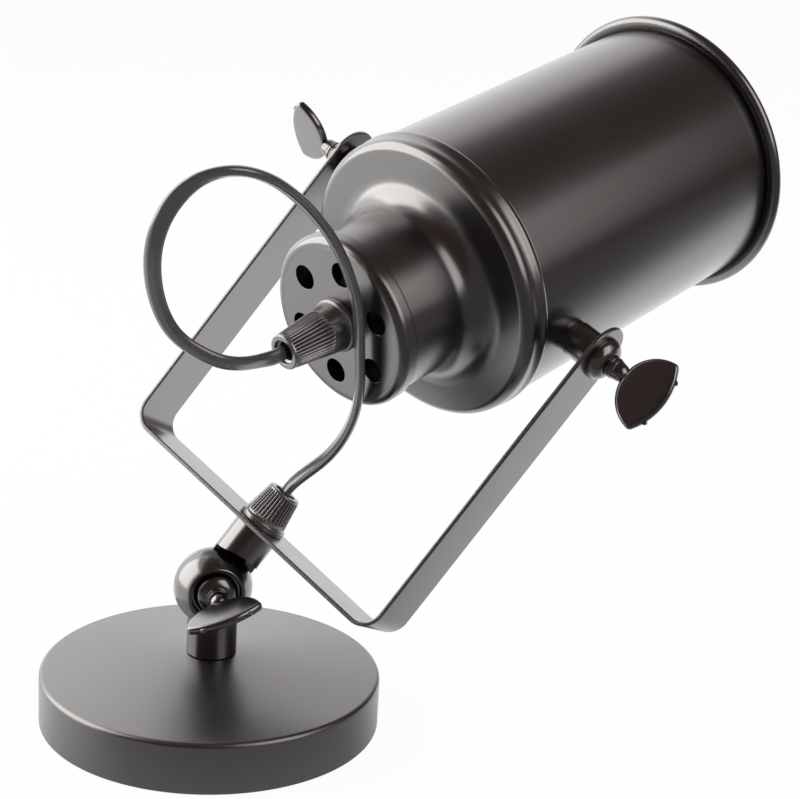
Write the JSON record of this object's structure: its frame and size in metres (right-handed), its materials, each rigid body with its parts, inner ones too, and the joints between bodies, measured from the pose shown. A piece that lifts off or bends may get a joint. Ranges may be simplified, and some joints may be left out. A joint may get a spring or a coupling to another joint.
{
  "type": "wall lamp",
  "caption": "Wall lamp with a cylindrical spot shade in a U shaped fork on a ball knuckle, wing screws at every clamp and a short cord looping from shade to fork.",
  "frame": {"origin": "centre of the canopy's back face, where it meets the wall", "axes": "+Z off the wall; -Y towards the head of the knuckle's clamp screw; +X the way the stem leans"},
  "size_m": [0.2644, 0.1876, 0.2475],
  "materials": {
    "dark_paint": "satin black paint on metal",
    "shade_paint": "satin black paint on spun metal",
    "fork_paint": "satin black paint on flat strip",
    "plated_steel": "zinc plated steel",
    "brass": "bright brass",
    "terminal_plastic": "off-white moulded plastic",
    "holder_plastic": "black moulded plastic",
    "grip_plastic": "dark grey ribbed plastic",
    "cord_sheath": "dark flat flex with a soft gloss"
  },
  "bodies": {
    "base": {"canopy": "dark_paint", "wall_strap": "plated_steel", "base_tube": "plated_steel", "rear_locknut": "plated_steel", "front_locknut": "plated_steel", "terminal_block": "terminal_plastic", "terminal_screws": "brass", "earth_screw": "brass"},
    "knuckle": {"knuckle_lower": "dark_paint"},
    "knuckle_screw": {"knuckle_washer": "dark_paint", "knuckle_wing": "dark_paint"},
    "stem": {"knuckle_upper": "dark_paint", "stem_sleeve": "dark_paint"},
    "fork": {"fork": "fork_paint", "fork_tube": "plated_steel", "fork_grip": "grip_plastic", "cord": "cord_sheath"},
    "near_screw": {"near_washer": "dark_paint", "near_wing": "dark_paint"},
    "far_screw": {"far_washer": "dark_paint", "far_wing": "dark_paint"},
    "shade": {"shade_tube": "shade_paint", "front_rim": "shade_paint", "rear_cap": "shade_paint", "rear_neck": "shade_paint", "rear_cover": "shade_paint", "shade_grip": "grip_plastic", "shade_tube_nipple": "plated_steel", "cover_locknut": "plated_steel", "holder_cap": "holder_plastic", "holder_body": "holder_plastic", "holder_ring": "holder_plastic", "screw_shell": "brass", "centre_contact": "brass", "near_spacer": "dark_paint", "far_spacer": "dark_paint", "near_nut": "plated_steel", "far_nut": "plated_steel"}
  },
  "joints": [
    {"name": "base_swivel", "type": "hinge", "parent": "base", "child": "knuckle", "pos_m": [0, 0, 0.03], "axis": [0, 0, 1], "range_deg": [-165, 165]},
    {"name": "knuckle_lean", "type": "hinge", "parent": "knuckle", "child": "stem", "pos_m": [0, 0, 0.049], "axis": [0, 1, 0], "range_deg": [-75, 12]},
    {"name": "fork_turn", "type": "hinge", "parent": "stem", "child": "fork", "pos_m": [0.01284, 0, 0.06687], "axis": [0.5835, 0, 0.8121], "range_deg": [-45, 45]},
    {"name": "shade_tilt", "type": "hinge", "parent": "fork", "child": "shade", "pos_m": [0.08508, 0, 0.1674], "axis": [-0.56, 0.7242, 0.4024], "range_deg": [-120, 60], "deforming": ["cord"]},
    {"name": "knuckle_clamp", "type": "hinge", "parent": "knuckle", "child": "knuckle_screw", "pos_m": [0, 0, 0.049], "axis": [0, -1, 0], "range_deg": [-90, 90]},
    {"name": "near_clamp", "type": "hinge", "parent": "fork", "child": "near_screw", "pos_m": [0.11961, -0.04464, 0.14259], "axis": [0.56, -0.7242, -0.4024], "range_deg": [-90, 90]},
    {"name": "far_clamp", "type": "hinge", "parent": "fork", "child": "far_screw", "pos_m": [0.05005, 0.0453, 0.19257], "axis": [-0.56, 0.7242, 0.4024], "range_deg": [-90, 90]}
  ]
}
